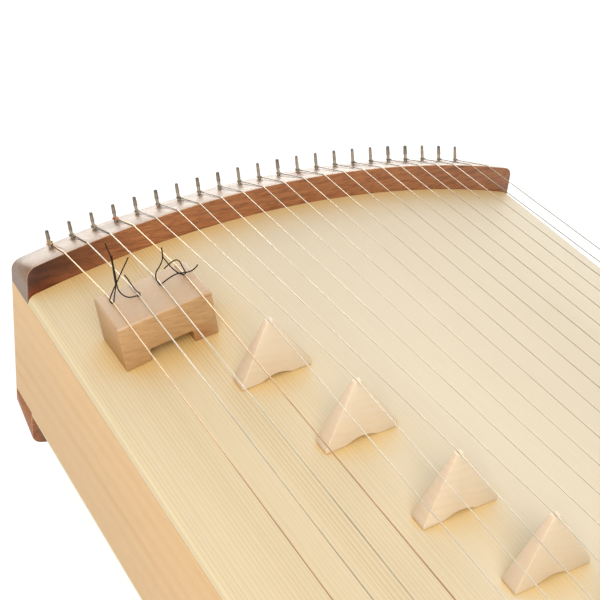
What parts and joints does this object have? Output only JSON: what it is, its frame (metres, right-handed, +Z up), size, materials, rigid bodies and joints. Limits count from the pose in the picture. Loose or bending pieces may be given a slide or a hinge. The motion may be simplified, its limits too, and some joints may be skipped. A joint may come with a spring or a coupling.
{
  "type": "kotamo",
  "caption": "Box zither with an arched, strung soundboard on both sides: movable triangle and block bridges above, long fixed bridges below, and tuning pins at one end.",
  "frame": {"origin": "on the resting plane, under the middle of the box", "axes": "+X along the strings from the tuning pins to the hitch pins, +Y across from the tanpura strings to the koto strings, +Z up"},
  "size_m": [1.18, 0.42, 0.2603],
  "materials": {
    "spruce": "quarter-sawn spruce with a silk matt oil finish",
    "side_wood": "fine-grained light hardwood, silk matt",
    "walnut": "oiled dark walnut",
    "bridge_wood": "sanded pale maple",
    "block_wood": "sanded pinkish hardwood",
    "pin_steel": "dull nickel-plated steel",
    "string_steel": "bright music wire",
    "thread": "black cotton thread",
    "rubber": "black matt rubber"
  },
  "bodies": {
    "box": {"end_board_far_end": "walnut", "end_board_pin_end": "walnut", "lower_brace_frame": "spruce", "lower_soundboard": "spruce", "monochord_bridge_far_end": "bridge_wood", "monochord_bridge_pin_end": "bridge_wood", "monochord_string_set": "string_steel", "rubber_foot_1": "rubber", "rubber_foot_2": "rubber", "rubber_foot_3": "rubber", "rubber_foot_4": "rubber", "side_panel_koto_side": "side_wood", "side_panel_tanpura_side": "side_wood", "upper_brace_frame": "spruce", "upper_soundboard": "spruce", "upper_string_set": "string_steel"},
    "tanpura_bridge_pin_end": {"tanpura_bridge_pin_end": "block_wood", "bridge_thread_outer": "thread", "bridge_thread_inner": "thread"},
    "tanpura_bridge_far_end": {"tanpura_bridge_far_end": "block_wood"},
    "tuning_pin_01": {"tuning_pin_01": "pin_steel"},
    "tuning_pin_02": {"tuning_pin_02": "pin_steel"},
    "tuning_pin_03": {"tuning_pin_03": "pin_steel"},
    "tuning_pin_04": {"tuning_pin_04": "pin_steel"},
    "tuning_pin_05": {"tuning_pin_05": "pin_steel"},
    "tuning_pin_06": {"tuning_pin_06": "pin_steel"},
    "tuning_pin_07": {"tuning_pin_07": "pin_steel"},
    "tuning_pin_08": {"tuning_pin_08": "pin_steel"},
    "tuning_pin_09": {"tuning_pin_09": "pin_steel"},
    "tuning_pin_10": {"tuning_pin_10": "pin_steel"},
    "tuning_pin_11": {"tuning_pin_11": "pin_steel"},
    "tuning_pin_12": {"tuning_pin_12": "pin_steel"},
    "tuning_pin_13": {"tuning_pin_13": "pin_steel"},
    "tuning_pin_14": {"tuning_pin_14": "pin_steel"},
    "tuning_pin_15": {"tuning_pin_15": "pin_steel"},
    "tuning_pin_16": {"tuning_pin_16": "pin_steel"},
    "tuning_pin_17": {"tuning_pin_17": "pin_steel"},
    "tuning_pin_18": {"tuning_pin_18": "pin_steel"},
    "tuning_pin_19": {"tuning_pin_19": "pin_steel"},
    "tuning_pin_20": {"tuning_pin_20": "pin_steel"},
    "tuning_pin_21": {"tuning_pin_21": "pin_steel"},
    "tuning_pin_22": {"tuning_pin_22": "pin_steel"},
    "koto_bridge_01": {"koto_bridge_01": "bridge_wood"},
    "koto_bridge_02": {"koto_bridge_02": "bridge_wood"},
    "koto_bridge_03": {"koto_bridge_03": "bridge_wood"},
    "koto_bridge_04": {"koto_bridge_04": "bridge_wood"},
    "koto_bridge_05": {"koto_bridge_05": "bridge_wood"},
    "koto_bridge_06": {"koto_bridge_06": "bridge_wood"},
    "koto_bridge_07": {"koto_bridge_07": "bridge_wood"},
    "koto_bridge_08": {"koto_bridge_08": "bridge_wood"},
    "koto_bridge_09": {"koto_bridge_09": "bridge_wood"},
    "koto_bridge_10": {"koto_bridge_10": "bridge_wood"},
    "koto_bridge_11": {"koto_bridge_11": "bridge_wood"},
    "koto_bridge_12": {"koto_bridge_12": "bridge_wood"},
    "koto_bridge_13": {"koto_bridge_13": "bridge_wood"},
    "koto_bridge_14": {"koto_bridge_14": "bridge_wood"},
    "koto_bridge_15": {"koto_bridge_15": "bridge_wood"},
    "koto_bridge_16": {"koto_bridge_16": "bridge_wood"},
    "koto_bridge_17": {"koto_bridge_17": "bridge_wood"},
    "koto_bridge_18": {"koto_bridge_18": "bridge_wood"}
  },
  "joints": [
    {"name": "tuning_pin_01_turn", "type": "hinge", "parent": "box", "child": "tuning_pin_01", "pos_m": [-0.5835, -0.1824, 0.19475], "axis": [-0.3732, -0.0855, 0.9238], "range_deg": [-180, 90], "deforming": ["upper_string_set"]},
    {"name": "tuning_pin_02_turn", "type": "hinge", "parent": "box", "child": "tuning_pin_02", "pos_m": [-0.5835, -0.16555, 0.19881], "axis": [-0.3735, -0.0777, 0.9244], "range_deg": [-180, 90], "deforming": ["upper_string_set"]},
    {"name": "tuning_pin_03_turn", "type": "hinge", "parent": "box", "child": "tuning_pin_03", "pos_m": [-0.5835, -0.14871, 0.20246], "axis": [-0.3737, -0.0698, 0.9249], "range_deg": [-180, 90], "deforming": ["upper_string_set"]},
    {"name": "tuning_pin_04_turn", "type": "hinge", "parent": "box", "child": "tuning_pin_04", "pos_m": [-0.5835, -0.13186, 0.2057], "axis": [-0.3739, -0.0619, 0.9254], "range_deg": [-180, 90], "deforming": ["upper_string_set"]},
    {"name": "tuning_pin_05_turn", "type": "hinge", "parent": "box", "child": "tuning_pin_05", "pos_m": [-0.5835, -0.11501, 0.20854], "axis": [-0.3741, -0.054, 0.9258], "range_deg": [-180, 90], "deforming": ["upper_string_set"]},
    {"name": "tuning_pin_06_turn", "type": "hinge", "parent": "box", "child": "tuning_pin_06", "pos_m": [-0.5835, -0.09816, 0.21098], "axis": [-0.3742, -0.0462, 0.9262], "range_deg": [-180, 90], "deforming": ["upper_string_set"]},
    {"name": "tuning_pin_07_turn", "type": "hinge", "parent": "box", "child": "tuning_pin_07", "pos_m": [-0.5835, -0.08131, 0.21304], "axis": [-0.3743, -0.0382, 0.9265], "range_deg": [-180, 90], "deforming": ["upper_string_set"]},
    {"name": "tuning_pin_08_turn", "type": "hinge", "parent": "box", "child": "tuning_pin_08", "pos_m": [-0.5835, -0.06447, 0.2147], "axis": [-0.3744, -0.0303, 0.9268], "range_deg": [-180, 90], "deforming": ["upper_string_set"]},
    {"name": "tuning_pin_09_turn", "type": "hinge", "parent": "box", "child": "tuning_pin_09", "pos_m": [-0.5835, -0.04762, 0.21597], "axis": [-0.3745, -0.0224, 0.927], "range_deg": [-180, 90], "deforming": ["upper_string_set"]},
    {"name": "tuning_pin_10_turn", "type": "hinge", "parent": "box", "child": "tuning_pin_10", "pos_m": [-0.5835, -0.03077, 0.21686], "axis": [-0.3746, -0.0145, 0.9271], "range_deg": [-180, 90], "deforming": ["upper_string_set"]},
    {"name": "tuning_pin_11_turn", "type": "hinge", "parent": "box", "child": "tuning_pin_11", "pos_m": [-0.5835, -0.01392, 0.21737], "axis": [-0.3746, -0.0066, 0.9272], "range_deg": [-180, 90], "deforming": ["upper_string_set"]},
    {"name": "tuning_pin_12_turn", "type": "hinge", "parent": "box", "child": "tuning_pin_12", "pos_m": [-0.5835, 0.00292, 0.21749], "axis": [-0.3746, 0.0014, 0.9272], "range_deg": [-180, 90], "deforming": ["upper_string_set"]},
    {"name": "tuning_pin_13_turn", "type": "hinge", "parent": "box", "child": "tuning_pin_13", "pos_m": [-0.5835, 0.01977, 0.21724], "axis": [-0.3746, 0.0093, 0.9271], "range_deg": [-180, 90], "deforming": ["upper_string_set"]},
    {"name": "tuning_pin_14_turn", "type": "hinge", "parent": "box", "child": "tuning_pin_14", "pos_m": [-0.5835, 0.03662, 0.2166], "axis": [-0.3746, 0.0172, 0.927], "range_deg": [-180, 90], "deforming": ["upper_string_set"]},
    {"name": "tuning_pin_15_turn", "type": "hinge", "parent": "box", "child": "tuning_pin_15", "pos_m": [-0.5835, 0.05347, 0.21557], "axis": [-0.3745, 0.0252, 0.9269], "range_deg": [-180, 90], "deforming": ["upper_string_set"]},
    {"name": "tuning_pin_16_turn", "type": "hinge", "parent": "box", "child": "tuning_pin_16", "pos_m": [-0.5835, 0.07031, 0.21416], "axis": [-0.3744, 0.0331, 0.9267], "range_deg": [-180, 90], "deforming": ["upper_string_set"]},
    {"name": "tuning_pin_17_turn", "type": "hinge", "parent": "box", "child": "tuning_pin_17", "pos_m": [-0.5835, 0.08716, 0.21237], "axis": [-0.3743, 0.041, 0.9264], "range_deg": [-180, 90], "deforming": ["upper_string_set"]},
    {"name": "tuning_pin_18_turn", "type": "hinge", "parent": "box", "child": "tuning_pin_18", "pos_m": [-0.5835, 0.10401, 0.21018], "axis": [-0.3742, 0.0489, 0.9261], "range_deg": [-180, 90], "deforming": ["upper_string_set"]},
    {"name": "tuning_pin_19_turn", "type": "hinge", "parent": "box", "child": "tuning_pin_19", "pos_m": [-0.5835, 0.12086, 0.2076], "axis": [-0.374, 0.0568, 0.9257], "range_deg": [-180, 90], "deforming": ["upper_string_set"]},
    {"name": "tuning_pin_20_turn", "type": "hinge", "parent": "box", "child": "tuning_pin_20", "pos_m": [-0.5835, 0.1377, 0.20462], "axis": [-0.3738, 0.0647, 0.9252], "range_deg": [-180, 90], "deforming": ["upper_string_set"]},
    {"name": "tuning_pin_21_turn", "type": "hinge", "parent": "box", "child": "tuning_pin_21", "pos_m": [-0.5835, 0.15455, 0.20124], "axis": [-0.3736, 0.0725, 0.9247], "range_deg": [-180, 90], "deforming": ["upper_string_set"]},
    {"name": "tuning_pin_22_turn", "type": "hinge", "parent": "box", "child": "tuning_pin_22", "pos_m": [-0.5835, 0.1714, 0.19745], "axis": [-0.3734, 0.0804, 0.9242], "range_deg": [-180, 90], "deforming": ["upper_string_set"]},
    {"name": "koto_bridge_01_slide", "type": "slide", "parent": "box", "child": "koto_bridge_01", "axis": [1, 0, 0], "range_m": [-0.03, 0.03], "deforming": ["upper_string_set"]},
    {"name": "koto_bridge_02_slide", "type": "slide", "parent": "box", "child": "koto_bridge_02", "axis": [1, 0, 0], "range_m": [-0.03, 0.03], "deforming": ["upper_string_set"]},
    {"name": "koto_bridge_03_slide", "type": "slide", "parent": "box", "child": "koto_bridge_03", "axis": [1, 0, 0], "range_m": [-0.03, 0.0245], "deforming": ["upper_string_set"]},
    {"name": "koto_bridge_04_slide", "type": "slide", "parent": "box", "child": "koto_bridge_04", "axis": [1, 0, 0], "range_m": [-0.0245, 0.0219], "deforming": ["upper_string_set"]},
    {"name": "koto_bridge_05_slide", "type": "slide", "parent": "box", "child": "koto_bridge_05", "axis": [1, 0, 0], "range_m": [-0.0219, 0.0195], "deforming": ["upper_string_set"]},
    {"name": "koto_bridge_06_slide", "type": "slide", "parent": "box", "child": "koto_bridge_06", "axis": [1, 0, 0], "range_m": [-0.0195, 0.0172], "deforming": ["upper_string_set"]},
    {"name": "koto_bridge_07_slide", "type": "slide", "parent": "box", "child": "koto_bridge_07", "axis": [1, 0, 0], "range_m": [-0.0172, 0.0152], "deforming": ["upper_string_set"]},
    {"name": "koto_bridge_08_slide", "type": "slide", "parent": "box", "child": "koto_bridge_08", "axis": [1, 0, 0], "range_m": [-0.0152, 0.0133], "deforming": ["upper_string_set"]},
    {"name": "koto_bridge_09_slide", "type": "slide", "parent": "box", "child": "koto_bridge_09", "axis": [1, 0, 0], "range_m": [-0.0133, 0.0116], "deforming": ["upper_string_set"]},
    {"name": "koto_bridge_10_slide", "type": "slide", "parent": "box", "child": "koto_bridge_10", "axis": [1, 0, 0], "range_m": [-0.0116, 0.0101], "deforming": ["upper_string_set"]},
    {"name": "koto_bridge_11_slide", "type": "slide", "parent": "box", "child": "koto_bridge_11", "axis": [1, 0, 0], "range_m": [-0.0101, 0.0086], "deforming": ["upper_string_set"]},
    {"name": "koto_bridge_12_slide", "type": "slide", "parent": "box", "child": "koto_bridge_12", "axis": [1, 0, 0], "range_m": [-0.0086, 0.0073], "deforming": ["upper_string_set"]},
    {"name": "koto_bridge_13_slide", "type": "slide", "parent": "box", "child": "koto_bridge_13", "axis": [1, 0, 0], "range_m": [-0.0073, 0.0061], "deforming": ["upper_string_set"]},
    {"name": "koto_bridge_14_slide", "type": "slide", "parent": "box", "child": "koto_bridge_14", "axis": [1, 0, 0], "range_m": [-0.0061, 0.005], "deforming": ["upper_string_set"]},
    {"name": "koto_bridge_15_slide", "type": "slide", "parent": "box", "child": "koto_bridge_15", "axis": [1, 0, 0], "range_m": [-0.005, 0.0039], "deforming": ["upper_string_set"]},
    {"name": "koto_bridge_16_slide", "type": "slide", "parent": "box", "child": "koto_bridge_16", "axis": [1, 0, 0], "range_m": [-0.0039, 0.003], "deforming": ["upper_string_set"]},
    {"name": "koto_bridge_17_slide", "type": "slide", "parent": "box", "child": "koto_bridge_17", "axis": [1, 0, 0], "range_m": [-0.003, 0.0021], "deforming": ["upper_string_set"]},
    {"name": "koto_bridge_18_slide", "type": "slide", "parent": "box", "child": "koto_bridge_18", "axis": [1, 0, 0], "range_m": [-0.0021, 0.03], "deforming": ["upper_string_set"]},
    {"name": "tanpura_bridge_pin_end_slide", "type": "slide", "parent": "box", "child": "tanpura_bridge_pin_end", "axis": [1, 0, 0], "range_m": [-0.015, 0.015], "deforming": ["upper_string_set"]},
    {"name": "tanpura_bridge_far_end_slide", "type": "slide", "parent": "box", "child": "tanpura_bridge_far_end", "axis": [1, 0, 0], "range_m": [-0.015, 0.015], "deforming": ["upper_string_set"]}
  ]
}
